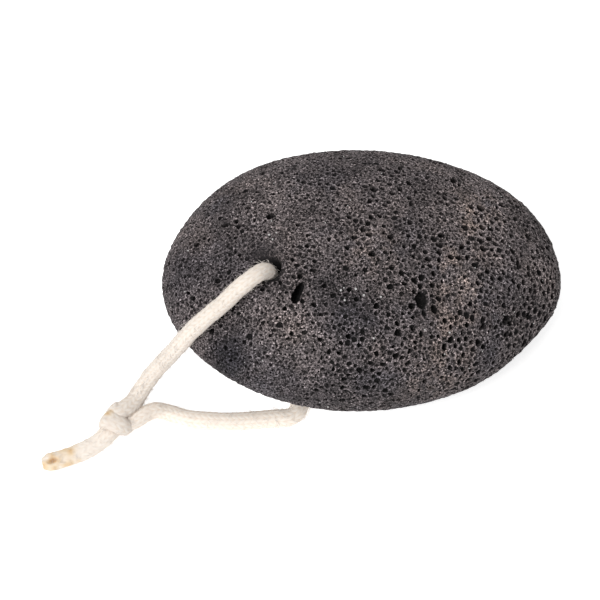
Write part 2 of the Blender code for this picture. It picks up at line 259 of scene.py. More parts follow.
# How far along the cord, and its half width and half height there, in millimetres.
CORD_SIZES = np.array((
    (0, 2.0, 1.9), (20, 2.35, 2.0), (62, 2.35, 2.0), (75, 2.1, 2.1), (90, 2.1, 2.1),
    (110, 2.1, 2.0), (146, 2.2, 2.1), (160, 2.4, 2.1), (168, 2.35, 2.05), (175.5, 2.2, 1.9))) * MM
# How far along the cord, and how much darker it is made there.
DARKENED_ALONG = np.array(((0, 0.6), (14, 0.1), (62, 0.0), (80, 0.5), (130, 0.8), (150, 0.6), (165, 0.4)))
TAIL_STIFF = 10.5 * MM  # length of the dipped end
FOLDS_ROUND = 8  # wrinkles round the dipped end
FOLD_RINGS = 4  # rings from one wrinkle to the next
FOLD_DEPTH = 0.12
PINCH_LENGTH = 2.0 * MM  # at the tip
PINCH = 0.35  # share of the width that the pinch takes away
DIMPLE_BACK = 2.5 * MM  # from the tip to the middle of its hollow
DIMPLE_ASIDE = 0.5 * MM
DIMPLE_HALF_SIZES = (1.3 * MM, 0.62 * MM)  # along the cord and across it
DIMPLE_DEPTH = 0.85 * MM
PATCH_BACK = 7.2 * MM  # from the tip to the middle of its tan patch
PATCH_LENGTH = 1.9 * MM
RUBBED = 0.6  # share of the braid that rubbing has flattened in the tail
FLAT_GROOVE = 0.7  # how light the flattened braid looks
# Painted shade in the braid's grooves, lighter on the crests.
GROOVE_SHADE = (0.22, 0.78)  # darkest in the grooves, and how much lighter on the crests


def tail_folds(rng):
    """Wrinkles at every corner of the rings, between -1 and 1."""
    crumple = rng.uniform(-1, 1, (len(cord_run) // FOLD_RINGS + 2, FOLDS_ROUND))
    row = np.arange(len(cord_run)) / FOLD_RINGS
    column = np.arange(AROUND) / AROUND * FOLDS_ROUND
    folds = np.zeros((len(cord_run), AROUND))
    half = FOLDS_ROUND / 2
    for k in range(FOLDS_ROUND):
        part = np.interp(row, np.arange(len(crumple)), crumple[:, k])[:, None]
        folds += part * np.clip(1 - np.abs((column - k + half) % FOLDS_ROUND - half), 0, 1)[None]
    return folds


def braid_shade(height):
    return GROOVE_SHADE[0] + GROOVE_SHADE[1] * height


def make_cord():
    end = cord_run[-1]
    wide, high = (np.interp(cord_run, CORD_SIZES[:, 0], CORD_SIZES[:, k]) for k in (1, 2))
    press = np.tile([0.0, 0.0, 1.0], (len(cord_path), 1))
    rings, height = tube_rings(cord_path, cord_run, press, wide, high, 3)
    near_end = np.clip((cord_run - (end - TAIL_STIFF)) / TAIL_STIFF, 0.0, 1.0)[:, None]
    folds = tail_folds(np.random.default_rng(8))
    middle = cord_path[:, None]
    rings = middle + (rings - middle) * (1 + FOLD_DEPTH * folds * near_end)[:, :, None]
    # The tip is pinched round, and a small hollow is pressed into the top of it.
    last = np.clip((cord_run - (end - PINCH_LENGTH)) / PINCH_LENGTH, 0, 1)[:, None, None]
    rings = middle + (rings - middle) * (1 - PINCH * last ** 2)
    half_long, half_across = DIMPLE_HALF_SIZES
    aside = rings[:, :, 1] - middle[:, :, 1] + DIMPLE_ASIDE
    from_dimple = np.hypot((cord_run[:, None] - (end - DIMPLE_BACK)) / half_long,
                           aside / half_across)
    top = rings[:, :, 2] > middle[:, :, 2]
    dimple = np.clip(1.15 - from_dimple, 0, 1) * top
    rings[:, :, 2] -= DIMPLE_DEPTH * np.sqrt(dimple)
    # The stain is blotchy all over the dipped end, strongest in the hollow, and tan in a patch.
    stain = np.clip(near_end * 3.0, 0.0, 1.0) * (0.25 + 0.28 * folds) * (0.3 + 0.7 * top)
    stain += 0.6 * dimple + 0.2 * np.exp(-(from_dimple / 1.8) ** 2) * top
    from_patch = (cord_run[:, None] - (end - PATCH_BACK)) / PATCH_LENGTH
    stain += 0.12 * np.exp(-from_patch ** 2) * top * (1.0 + 0.5 * folds)
    # The painted groove shade shows less in the tail, which has been rubbed smooth.
    rubbed = RUBBED * np.clip((cord_run - KNOT_END) / (2.0 * MM), 0.0, 1.0)[:, None]
    painted_groove_shade = braid_shade(height) * (1.0 - rubbed) + FLAT_GROOVE * rubbed
    # The slack strand over the stone is made darker, and the one on the table hardly at all.
    darkening = np.interp(cord_run, DARKENED_ALONG[:, 0] * MM, DARKENED_ALONG[:, 1])[:, None] + 0.0 * height
    return skin("cotton_cord", rings, painted_groove_shade, stain, darkening, cord_run)


cord = make_cord()
print("cord faces:", len(cord.data.polygons))


# %% [markdown]
# ## The knot
# One end of the cord is wound round the other strand and tucked under itself. Only the turns
# are new here, since the strands are already in the cord. Pulled tight, each turn is pressed
# flat against the strand: wide along it and thin outwards, which is what the squeeze
# direction of the tube is for.

# %% Knot
TURN_REACH = 2.9 * MM
TURN_PITCH = 3.8 * MM
FIRST_PITCH = 2.4 * MM
TURNS = (155, 545)  # degrees round the strand, up being 90
TURN_STEP = 30  # degrees from one row to the next
LAST_TURN = 310  # degrees from which the pitch is wider and the turn lies slack
SLACK_REACH = 0.35  # how much further out the slack turn bulges, in millimetres
SLACK_WIDTH = 0.4
KNOT_SMUDGE = np.array([-61.6, -31.3, 7.6]) * MM  # a small tan stain
SMUDGE_RADIUS = 1.0 * MM
KNOT_DARKENING = 0.7
LEAD_IN = 7 * MM  # length of the start that lies hidden in the strand


def cord_at(run):
    return cord_path[np.searchsorted(cord_run, run)]


def make_knot():
    start, end, middle = map(cord_at, (KNOT_START, KNOT_END, (KNOT_START + KNOT_END) / 2))
    ahead = (end - start) / np.linalg.norm(end - start)
    side = np.cross([0.0, 0.0, 1.0], ahead)
    side /= np.linalg.norm(side)
    up = np.cross(ahead, side)

    def turn_row(degrees, reach, wide, high):
        angle = math.radians(degrees)
        outward = side * math.cos(angle) + up * math.sin(angle)
        shift = (degrees - LAST_TURN) / 360 * (TURN_PITCH if degrees > LAST_TURN else FIRST_PITCH)
        slack = -math.cos(angle) if degrees > LAST_TURN else 0.0  # most on its far side
        reach, wide = reach + slack * SLACK_REACH * MM, wide + slack * SLACK_WIDTH
        return [*(middle + ahead * shift + outward * reach), *outward, wide * MM, high * MM]

    # Each row: place, squeeze direction and the two half sizes. The first turn peels off the
    # strand that it comes from, so its start lies hidden in that strand.
    rows = [[*cord_at(KNOT_START - 6 * MM), *up, 1.6 * MM, 1.6 * MM],
            [*cord_at(KNOT_START - 3 * MM), *up, 1.9 * MM, 1.9 * MM],
            [*(cord_at(KNOT_START) + up * 0.5 * MM), *up, 2.3 * MM, 2.1 * MM],
            turn_row(118, 2.0 * MM, 2.5, 2.0)]
    rows += [turn_row(at, TURN_REACH, 2.45, 1.4) for at in range(TURNS[0], TURNS[1] - 40, TURN_STEP)]
    rows += [turn_row(TURNS[1], TURN_REACH - 0.3 * MM, 1.7, 1.1)]
    fine, run = even_steps(catmull_rom(np.array(rows)), RING_STEP)
    path, press, wide, high = fine[:, :3], fine[:, 3:6], fine[:, 6], fine[:, 7]
    rings, height = tube_rings(path, run, press, wide, high, 5)
    from_smudge = np.linalg.norm(rings - KNOT_SMUDGE, axis=2) / SMUDGE_RADIUS
    stain = np.exp(-from_smudge ** 2)
    # Painted shade: the flanks of a turn lie in the creases, where little light reaches, so their
    # groove value is darker.
    spoke = rings - path[:, None]
    spoke /= np.linalg.norm(spoke, axis=2, keepdims=True)
    raised = np.clip(1.1 + 1.6 * (spoke * press[:, None]).sum(2), 0.0, 1.0)
    wound = np.clip((run - LEAD_IN) / (3 * MM), 0.0, 1.0)[:, None]
    raised = 1.0 - wound * (1.0 - raised)
    darkening = np.full_like(stain, KNOT_DARKENING)
    return skin("cord_knot", rings, braid_shade(height) * raised, stain, darkening, run)


knot = make_knot()
print("knot faces:", len(knot.data.polygons))


# %% [markdown]
# ## The stone's form
# The stone starts as an egg with three half sizes. Its rim is ground a little flatter in
# four places, as a factory wheel leaves it, and the whole egg leans so that the corded end
# lies higher. Writing the surface as one function of direction means that any number of
# points can be asked for later, wherever pores are wanted.

# %% Stone form
HALF_SIZES = np.array([51.8, 36.2, 20.3]) * MM
STONE_LEAN = math.radians(5.5)
REST_DEPTH = 1.2 * MM
# Each ground place: degrees round from +X, spread in degrees, depth at the rim.
GROUND_FLATS = ((12, 24, 3.0 * MM), (160, 26, 2.1 * MM), (300, 40, 4.1 * MM), (335, 26, 4.7 * MM))


def leaned(points):
    """Points turned about Y, so that the corded end rises."""
    x, y, z = points[..., 0], points[..., 1], points[..., 2]
    c, s = math.cos(STONE_LEAN), math.sin(STONE_LEAN)
    return np.stack([x * c + z * s, y, z * c - x * s], -1)


def ground_egg(dirs):
    """The smooth stone, about the egg's own centre, in the directions given."""
    around = np.arctan2(dirs[:, 1], dirs[:, 0])
    ground = np.zeros(len(dirs))
    for round_deg, spread, depth in GROUND_FLATS:
        away = (np.degrees(around) - round_deg + 180) % 360 - 180
        ground += depth * np.exp(-((away / spread) ** 2)) * np.hypot(dirs[:, 0], dirs[:, 1])
    outward = np.stack([np.cos(around), np.sin(around), 0 * around], -1)
    return leaned(dirs * HALF_SIZES - outward * ground[:, None])


def egg_normals(dirs):
    outward = dirs / HALF_SIZES
    return leaned(outward / np.linalg.norm(outward, axis=1, keepdims=True))


def random_directions(rng, count):
    """Unit vectors that give points spread evenly over the egg."""
    dirs = rng.normal(size=(count * 4, 3))
    dirs /= np.linalg.norm(dirs, axis=1, keepdims=True)
    area = np.linalg.norm(dirs / HALF_SIZES, axis=1) * HALF_SIZES[2]
    return dirs[rng.random(len(dirs)) < area][:count]


PROBES = 40000  # points that find how far the stone reaches
probe = ground_egg(random_directions(np.random.default_rng(1), PROBES))
stone_low, stone_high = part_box("pumice_stone")
to_table = np.array([*(((stone_low + stone_high) / 2).xy), 0.0])
to_table -= np.array([*((probe.min(0) + probe.max(0)) / 2)[:2], probe[:, 2].min() + REST_DEPTH])
print("stone moves by, mm:", np.round(to_table / MM, 2))


# %% [markdown]
# ## Large bubbles and the mouths of the hole
# A few bubbles are much larger than the rest, and the eye finds them at once, so they have
# named places. Each is an oval hollow: its centre, two half widths, how far its long side is
# turned, and its depth. The mouths of the drilled hole are worn round by the cord.

# %% Named hollows
# Each hollow: centre x, y, z, half width across, half width along, turn in degrees, depth.
HOLLOWS = (
    (-22.3, 6.2, 38.7, 1.15, 0.95, -30, 2.2),
    (-15.8, -14.6, 38.4, 1.0, 2.7, 24, 4.0),
    (-16.4, -16.0, 38.3, 1.25, 1.5, 10, 3.2),
    (13.3, -15.6, 36.0, 1.6, 2.0, 0, 2.0),
    (37.2, -2.1, 30.0, 0.65, 1.25, 0, 2.0),
    (11.2, -22.1, 33.7, 0.65, 0.6, 0, 1.4),
    (-22.3, 15.2, 36.8, 0.55, 0.5, 0, 1.2),
    (5.0, 9.2, 38.8, 0.85, 0.6, 20, 1.3),
    (28.4, -18.6, 28.9, 0.7, 0.8, 20, 1.5),
    (37.3, -13.6, 24.8, 0.55, 1.0, 20, 1.5),
    (39.9, -12.9, 22.9, 0.6, 1.1, 10, 1.6),
    (34.3, -18.6, 24.0, 0.75, 0.9, 30, 1.6),
    (34.2, -15.8, 26.3, 1.0, 1.5, 25, 1.2),
    (27.5, -7.6, 34.0, 0.6, 1.0, -20, 1.3),
)
BORE_TOP = Vector((-22.7, -8.0, 39.2)) * MM
BORE_BOTTOM = Vector((-18.2, -16.4, 4.2)) * MM
MOUTHS = ((BORE_TOP, 4.0 * MM), (BORE_BOTTOM, 6.0 * MM))


def direction_to(places):
    """The direction from the egg's centre in which each place on it lies."""
    local = places - to_table
    c, s = math.cos(STONE_LEAN), math.sin(STONE_LEAN)
    level = np.stack([local[:, 0] * c - local[:, 2] * s, local[:, 1],
                      local[:, 0] * s + local[:, 2] * c], -1) / HALF_SIZES
    return level / np.linalg.norm(level, axis=1, keepdims=True)


def on_stone(places):
    """Directions in which the ground stone lies straight above or below the places."""
    aim = places.copy()
    for _ in range(12):
        dirs = direction_to(aim)
        aim[:, :2] += (places - ground_egg(dirs) - to_table)[:, :2]
    return dirs


hollow_dirs = on_stone(np.array([hollow[:3] for hollow in HOLLOWS]) * MM)
hollow_places = ground_egg(hollow_dirs) + to_table
hollow_outward = egg_normals(hollow_dirs)
print("named hollows:", len(HOLLOWS))


# %% [markdown]
# ## Where the pores are
# Bubbles in a foam come in all sizes and fill the space between each other. Places are tried
# at random, the largest bubbles first, and a place is kept only if the bubble there clears
# its neighbours, so the small ones fill the gaps. They are finer at the corded end
# and coarser at the other. A grid of boxes keeps the search for neighbours short.

# %% Scatter the pores and join them in a net
SITE_TRIES = 9
# Least and most width against the usual, and how many bubbles of that kind are tried.
BUBBLES = ((1.4, 2.0, 330), (1.0, 1.4, 2300), (0.52, 0.9, 26000))
USUAL_WIDTH = 1.2  # in millimetres, at the middle of the stone
FINER, COARSER = 0.24, 0.34  # how much the usual width changes to the corded and the other end
PATCHY = 0.15  # how much it changes from patch to patch
CROWDING = 0.46  # the least gap between middles, against both widths together
BARE_SITES = 22  # round each mouth
BARE_WIDTH = 0.7 * MM
CLOSED_SHARE = 0.46  # of the small bubbles
CLOSED_SWING = 0.22  # more or less than that, from patch to patch
CLOSED_WAVES = np.array(((330.0, 240.0, 280.0), (-190.0, 350.0, 120.0)))  # per metre
SMALL_BUBBLE = 1.15 * MM
BOX = 3.0 * MM


def pore_scale(places):
    """The usual width of a bubble at each place, before its own variation."""
    share = np.clip(places[:, 0] / HALF_SIZES[0], -1.0, 1.0)
    wave = np.sin(places[:, 0] * 210 + 2.0) * np.sin(places[:, 1] * 170 + 0.7)
    wave += np.sin(places[:, 0] * 430 + places[:, 1] * 380) * np.cos(places[:, 1] * 520 - 1.0)
    size = USUAL_WIDTH + np.where(share < 0, FINER, COARSER) * share + PATCHY * wave
    return size * np.where(places[:, 2] < 10 * MM, 1.12, 1.0) * MM


def mouth_sites():
    """Directions to a close ring of sites round each mouth, which get no pores of their own."""
    rows = []
    for mouth, radius in MOUTHS:
        for angle in np.linspace(0, 2 * math.pi, BARE_SITES, endpoint=False):
            rows.append((mouth.x + radius * math.cos(angle), mouth.y + radius * math.sin(angle),
                         mouth.z))
    return on_stone(np.array(rows))


def scatter_sites(rng):
    """Directions and widths of all pores, largest first, none crowding another."""
    widths = np.sort(np.concatenate([rng.uniform(*kind) for kind in BUBBLES]))[::-1]
    tries = random_directions(rng, len(widths) * SITE_TRIES)
    places = ground_egg(tries) + to_table
    scale = pore_scale(places)
    dirs, sizes, boxes = [], [], {}

    def clear(place, width):
        cell = [int(v // BOX) for v in place]
        for a in range(cell[0] - 1, cell[0] + 2):
            for b in range(cell[1] - 1, cell[1] + 2):
                for c in range(cell[2] - 1, cell[2] + 2):
                    for x, y, z, other in boxes.get((a, b, c), ()):
                        gap = (x - place[0]) ** 2 + (y - place[1]) ** 2 + (z - place[2]) ** 2
                        if gap < (CROWDING * (width + other)) ** 2:
                            return False
        boxes.setdefault(tuple(cell), []).append((*place, width))
        return True

    drawn = mouth_sites()
    for direction, place in zip(drawn, ground_egg(drawn) + to_table):
        boxes.setdefault(tuple(int(v // BOX) for v in place), []).append((*place, BARE_WIDTH))
        dirs.append(direction)
        sizes.append(BARE_WIDTH)
    plain = len(dirs)
    k = 0
    for width in widths:
        for _ in range(SITE_TRIES):
            if clear(places[k].tolist(), width * scale[k]):
                dirs.append(tries[k])
                sizes.append(width * scale[k])
                k += 1
                break
            k += 1
    return np.array(dirs), np.array(sizes), plain


def pore_net():
    """A closed triangle net through the sites, with the width and kind of each kept on it."""
    rng = np.random.default_rng(11)
    dirs, sizes, plain = scatter_sites(rng)
    net = bmesh.new()
    for d in dirs:
        net.verts.new(d * HALF_SIZES / MM)
    bmesh.ops.convex_hull(net, input=net.verts)
    net.verts.index_update()
    smooth = ground_egg(dirs) + to_table
    for vert, place in zip(net.verts, smooth):
        vert.co = place
    bmesh.ops.beautify_fill(net, faces=net.faces, edges=net.edges, method="ANGLE")
    bmesh.ops.recalc_face_normals(net, faces=net.faces)
    mesh = bpy.data.meshes.new("pumice")
    net.to_mesh(mesh)
    net.free()
    # Some of the small bubbles never broke open, which leaves solid ground between the pores.
    one, two = CLOSED_WAVES
    closed = CLOSED_SHARE + CLOSED_SWING * np.sin(smooth @ one) * np.sin(smooth @ two + 1.0)
    pore = (rng.random(len(dirs)) > np.where(sizes < SMALL_BUBBLE, closed, 0.04)).astype(float)
    pore[:plain] = 0.0
    for mouth, radius in MOUTHS:
        pore[np.linalg.norm(smooth - np.array(mouth), axis=1) < radius] = 0.0
    mesh.attributes.new("width", "FLOAT", "POINT").data.foreach_set("value", sizes)
    mesh.attributes.new("pore", "FLOAT", "POINT").data.foreach_set("value", pore)
    obj = bpy.data.objects.new("pumice", mesh)
    bpy.context.scene.collection.objects.link(obj)
    return obj


stone = pore_net()
print("sites on the stone:", len(stone.data.vertices))


# %% [markdown]
# ## Growing the pores with Geometry Nodes
# The net of sites becomes a skin of cells (its dual mesh), one cell for each pore. The
# corner between three cells is put nearer the smaller bubbles, as the walls in real foam
# lie. Then every cell is narrowed to leave a wall, and its middle is sunk. A small pore
# closes to a point and a large one keeps a floor. Doing it in nodes keeps the seed, the wall
# thickness and the depth as plain numbers that can be changed on the modifier.

# %% Node helpers
def add_node(tree, kind, column, row, inputs=None, **settings):
    """A node laid out by column and row. Each input is linked to a socket or set to a value."""
    node = tree.nodes.new(kind)
    node.location = (column * 190, -row * 170)
    for name, value in settings.items():
        setattr(node, name, value)
    for name, value in (inputs or {}).items():
        if isinstance(value, bpy.types.NodeSocket):
            tree.links.new(value, node.inputs[name])
        else:
            node.inputs[name].default_value = value
    return node


def maths(tree, kind, column, row, first, second):
    return add_node(tree, "ShaderNodeMath", column, row, {0: first, 1: second},
                    operation=kind).outputs[0]


def open_tree(name, sockets):
    """A Geometry Nodes tree with named inputs, and the sockets that bring those in."""
    tree = bpy.data.node_groups.new(name, "GeometryNodeTree")
    tree.is_modifier = True
    tree.interface.new_socket("Geometry", in_out="OUTPUT", socket_type="NodeSocketGeometry")
    tree.interface.new_socket("Geometry", in_out="INPUT", socket_type="NodeSocketGeometry")
    for label, kind, value in sockets:
        socket = tree.interface.new_socket(label, in_out="INPUT", socket_type=kind)
        if value is not None:
            socket.default_value = value
    return tree, add_node(tree, "NodeGroupInput", 0, 0).outputs


def close_tree(tree, geometry, material, column):
    """Make the instances real, give them the material and put them out of the tree."""
    real = add_node(tree, "GeometryNodeRealizeInstances", column, 0, {0: geometry})
    painted = add_node(tree, "GeometryNodeSetMaterial", column + 1, 0,
                       {"Geometry": real.outputs[0], "Material": material})
    add_node(tree, "NodeGroupOutput", column + 2, 0, {"Geometry": painted.outputs[0]})
    return tree


def grow(obj, tree, values):
    """Run the tree on the object and keep the result as its plain mesh."""
    modifier = obj.modifiers.new(tree.name, "NODES")
    modifier.node_group = tree
    for item in tree.interface.items_tree:
        if item.item_type == "SOCKET" and item.in_out == "INPUT" and item.name in values:
            modifier[item.identifier] = values[item.name]
    graph = bpy.context.evaluated_depsgraph_get()
    grown = bpy.data.meshes.new_from_object(obj.evaluated_get(graph))
    obj.modifiers.remove(modifier)
    obj.data = grown
    grown.name = obj.name


def triangles_in(mesh):
    return sum(len(face.vertices) - 2 for face in mesh.polygons)


print("node helpers ready")


# %% [markdown]
# ## The pore tree
# Pumice is all walls: every pore is a pit with a thin rim that it shares with its neighbours.
# The tree extrudes each cell twice, once inwards across its own face to make the rim, and once
# down to make the pit. Cutting ten thousand balls out with Booleans would take hours. The
# depth of each point is kept on the mesh as a named value, which the finish reads later.

# %% The pore tree
# The finish reads the depth value as painted shade in the pits and a painted highlight on the rims.
RIM_DEPTH = 0.3  # the named value "depth": 0 on the skin, this on the rim of a pore
PIT_DEPTH = 0.42  # and this at the bottom of a pit, more for each metre that it is deep
PIT_DEPTH_PER_METRE = 600.0
FLOOR = 0.62  # width of a large pore's floor against its mouth


def pore_tree():
    tree, given = open_tree("pumice_pores", (
        ("Thinnest Wall", "NodeSocketFloat", 0.92), ("Thickest Wall", "NodeSocketFloat", 0.54),
        ("Least Depth", "NodeSocketFloat", 0.16), ("Most Depth", "NodeSocketFloat", 0.95),
        ("Crumple", "NodeSocketFloat", 0.42 * MM), ("Crumple Scale", "NodeSocketFloat", 1000.0),
        ("Floor Width", "NodeSocketFloat", 1.45 * MM), ("Seed", "NodeSocketInt", 5),
        ("Material", "NodeSocketMaterial", None)))

    def scaled(column, row, vector, factor):
        return add_node(tree, "ShaderNodeVectorMath", column, row, {0: vector, "Scale": factor},
                        operation="SCALE").outputs[0]

    def named(label, column, row):
        return add_node(tree, "GeometryNodeInputNamedAttribute", column, row, {"Name": label},
                        data_type="FLOAT").outputs["Attribute"]

    def random(low, high, column, row, salt):
        seed = maths(tree, "ADD", column - 1, row, given["Seed"], salt)
        return add_node(tree, "FunctionNodeRandomValue", column, row,
                        {2: low, 3: high, "Seed": seed}, data_type="FLOAT").outputs[1]

    def mean_of_sites(value, kind, column, row):
        return add_node(tree, "GeometryNodeFieldOnDomain", column, row, {0: value},
                        domain="FACE", data_type=kind).outputs[0]

    def extruded(mesh, chosen, distance, column):
        return add_node(tree, "GeometryNodeExtrudeMesh", column, 0, {
            "Mesh": mesh, "Selection": chosen, "Offset Scale": distance}, mode="FACES").outputs

    def narrowed(mesh, chosen, share, column):
        return add_node(tree, "GeometryNodeScaleElements", column, 0, {
            "Geometry": mesh, "Selection": chosen, "Scale": share}, domain="FACE").outputs[0]

    def marked(mesh, chosen, depth, column):
        return add_node(tree, "GeometryNodeStoreNamedAttribute", column, 0, {
            "Geometry": mesh, "Selection": chosen, "Name": "depth", "Value": depth},
            data_type="FLOAT", domain="POINT").outputs[0]

    # The corner of three cells: the mean of the three sites, weighted towards the small ones.
    lightness = maths(tree, "DIVIDE", 2, 2, MM, named("width", 1, 2))
    place = add_node(tree, "GeometryNodeInputPosition", 1, 3).outputs[0]
    mean_place = mean_of_sites(scaled(3, 3, place, lightness), "FLOAT_VECTOR", 4, 3)
    mean_light = mean_of_sites(lightness, "FLOAT", 4, 2)
    corner = scaled(6, 3, mean_place, maths(tree, "DIVIDE", 5, 2, 1.0, mean_light))
    keep = add_node(tree, "GeometryNodeCaptureAttribute", 7, 0, domain="FACE")
    keep.capture_items.new("VECTOR", "Corner")
    tree.links.new(given["Geometry"], keep.inputs["Geometry"])
    tree.links.new(corner, keep.inputs["Corner"])
    cells = add_node(tree, "GeometryNodeDualMesh", 8, 0, {"Mesh": keep.outputs["Geometry"]})
    placed = add_node(tree, "GeometryNodeSetPosition", 9, 0, {
        "Geometry": cells.outputs[0], "Position": keep.outputs["Corner"]}).outputs[0]

    # The mouth: the cell again, narrower, with a wall left round it.
    is_pore = maths(tree, "GREATER_THAN", 9, 3, named("pore", 8, 3), 0.5)
    mouth = extruded(placed, is_pore, 0.0, 10)
    wall = random(given["Thickest Wall"], given["Thinnest Wall"], 12, 2, 1)
    rim = marked(narrowed(mouth["Mesh"], mouth["Top"], wall, 13), mouth["Top"], RIM_DEPTH, 14)

    # The pit: pushed in by a share of the pore's own width.
    width = named("width", 15, 3)
    share = random(given["Least Depth"], given["Most Depth"], 15, 2, 2)
    sunk = maths(tree, "MULTIPLY", 16, 2, width, share)
    pit = extruded(rim, mouth["Top"], maths(tree, "MULTIPLY", 17, 3, sunk, -1.0), 18)
    has_floor = maths(tree, "GREATER_THAN", 17, 4, width, given["Floor Width"])
    closed = narrowed(pit["Mesh"], pit["Top"], maths(tree, "MULTIPLY", 18, 4, has_floor, FLOOR), 19)
    darker = maths(tree, "MULTIPLY", 18, 5, sunk, PIT_DEPTH_PER_METRE)
    bottom = marked(closed, pit["Top"], maths(tree, "ADD", 19, 5, darker, PIT_DEPTH), 20)
    merged = add_node(tree, "GeometryNodeMergeByDistance", 21, 0, {
        "Geometry": bottom, "Selection": pit["Top"], "Distance": 0.001 * MM}).outputs[0]

    # Broken glass has no round edges: every corner is moved a little by a fine noise.
    crumple = add_node(tree, "ShaderNodeTexNoise", 19, 3, {"Scale": given["Crumple Scale"]})
    centred = add_node(tree, "ShaderNodeVectorMath", 20, 3, {
        0: crumple.outputs["Color"], 1: (0.5, 0.5, 0.5)}, operation="SUBTRACT").outputs[0]
    both_ways = maths(tree, "MULTIPLY", 20, 2, given["Crumple"], 2.0)
    moved = add_node(tree, "GeometryNodeSetPosition", 22, 0, {
        "Geometry": merged, "Offset": scaled(21, 3, centred, both_ways)}).outputs[0]
    return close_tree(tree, moved, given["Material"], 23)


def level_rest(mesh):
    """Nothing goes below the table, which leaves the worn resting patch flat."""
    places = np.empty(len(mesh.vertices) * 3)
    mesh.vertices.foreach_get("co", places)
    places[2::3] = np.maximum(places[2::3], 0.0)
    mesh.vertices.foreach_set("co", places)


stone_finish = bpy.data.materials.new("pumice")
grow(stone, pore_tree(), {"Seed": 5, "Material": stone_finish})
level_rest(stone.data)
print("stone triangles:", triangles_in(stone.data))


# %% [markdown]
# ## Drilling the hole
# The hole is cut last, with an exact Boolean, so that it goes through the pores just as a drill
# goes through them. The cutter is a straight shank that flares at both mouths, where years
# of pulling the cord would wear the edge away. The large named hollows are cut in the same
# go, by crumpled ovals that lean a little to one side, because no bubble is a perfect bowl.

# %% Drill
BORE_RADIUS = 3.0 * MM
BORE_SIDES = 32
PAST = 4 * MM  # how far the cutter goes on outside the stone, flaring as it goes
TOP_FLARE = 4.4 * MM  # depth of the worn mouths, at the top and at the bottom
BOTTOM_FLARE = 8.0 * MM
WORN_WAY = Vector((-0.98, 0.2, 0.0))  # the way the strand pulls as it leaves the top mouth
HOLLOW_LEAN = np.array([0.3, 0.0, 0.0])  # hollows are deepest on their left
HOLLOW_BUMPS = 0.05
HOLLOW_SINK = 0.1  # share of its depth by which a hollow's middle lies under the skin
SMOOTH_UP_TO = math.radians(40)


def as_cutter(net, name):
    mesh = bpy.data.meshes.new(name)
    net.to_mesh(mesh)
    net.free()
    mesh.materials.append(stone_finish)
    obj = bpy.data.objects.new(name, mesh)
    bpy.context.scene.collection.objects.link(obj)
    return obj


def bore_cutter():
    long = (BORE_BOTTOM - BORE_TOP).length
    turn = Vector((0.0, 0.0, 1.0)).rotation_difference(BORE_BOTTOM - BORE_TOP)
    worn = turn.inverted() @ WORN_WAY
    top, bottom = MOUTHS[0][1], MOUTHS[1][1]
    profile = ((-PAST, top + PAST / 2), (0.0, top), (2.0 * MM, BORE_RADIUS + 0.25 * MM),
               (TOP_FLARE, BORE_RADIUS), (long - BOTTOM_FLARE, BORE_RADIUS),
               (long - 3.6 * MM, BORE_RADIUS + 1.0 * MM), (long, bottom),
               (long + PAST, bottom + PAST / 2))
    net = bmesh.new()
    rings = []
    for height, radius in profile:
        made = bmesh.ops.create_circle(net, segments=BORE_SIDES, radius=radius)["verts"]
        aside = worn * (radius - BORE_RADIUS) if height < TOP_FLARE else Vector()
        bmesh.ops.translate(net, verts=made, vec=aside + Vector((0.0, 0.0, height)))
        rings.append(made)
    for upper, lower in zip(rings, rings[1:]):
        for k in range(BORE_SIDES):
            n = (k + 1) % BORE_SIDES
            net.faces.new((upper[k], upper[n], lower[n], lower[k]))
    net.faces.new(rings[0])
    net.faces.new(rings[-1])
    bmesh.ops.recalc_face_normals(net, faces=net.faces)
    bmesh.ops.transform(net, matrix=Matrix.Translation(BORE_TOP) @ turn.to_matrix().to_4x4(),
                        verts=net.verts)
    return as_cutter(net, "bore")


def hollow_cutter(every, rng):
    """Crumpled ovals for the named hollows that are listed, set into the surface and tilted."""
    net = bmesh.new()
    for hollow, place, outward in zip(HOLLOWS[every], hollow_places[every], hollow_outward[every]):
        *_, across, along, turn_deg, depth = hollow
        axis = Vector(outward + HOLLOW_LEAN).normalized()
        turn = math.radians(turn_deg)
        side = Vector((math.cos(turn), -math.sin(turn), 0.0))
        side = (side - axis * side.dot(axis)).normalized()
        verts = bmesh.ops.create_icosphere(net, subdivisions=3, radius=1.0)["verts"]
        waves = rng.normal(size=(5, 3)) * 2.2
        for vert in verts:
            bumps = sum(math.sin(vert.co.dot(Vector(w)) + k) for k, w in enumerate(waves))
            local = vert.co * (1 + HOLLOW_BUMPS * bumps)
            vert.co = (Vector(place) - axis * HOLLOW_SINK * depth * MM + side * local.x * across * MM
                       + axis.cross(side) * local.y * along * MM + axis * local.z * depth * MM)
    return as_cutter(net, "hollows")


def drill(obj, cutter):
    boolean = obj.modifiers.new("drill", "BOOLEAN")
    boolean.operation = "DIFFERENCE"
    boolean.solver = "EXACT"
    boolean.object = cutter
    graph = bpy.context.evaluated_depsgraph_get()
    drilled = bpy.data.meshes.new_from_object(obj.evaluated_get(graph))
    obj.modifiers.remove(boolean)
    bpy.data.objects.remove(cutter)
    obj.data = drilled
    drilled.name = obj.name


# Neighbouring hollows that touch are in different cutters, because a cutter must not cross itself.
hollow_rng = np.random.default_rng(3)
for cutter in (bore_cutter(), hollow_cutter(slice(0, None, 2), hollow_rng),
               hollow_cutter(slice(1, None, 2), hollow_rng)):
    drill(stone, cutter)
stone.data.shade_smooth()
stone.data.set_sharp_from_angle(angle=SMOOTH_UP_TO)
print("stone triangles after drilling:", triangles_in(stone.data))


# %% [markdown]
# ## White crystals
# A handful of feldspar crystals show as white specks. Each is a small faceted grain, half sunk
# in the surface. They are joined to the stone's mesh and marked with a value of their own.

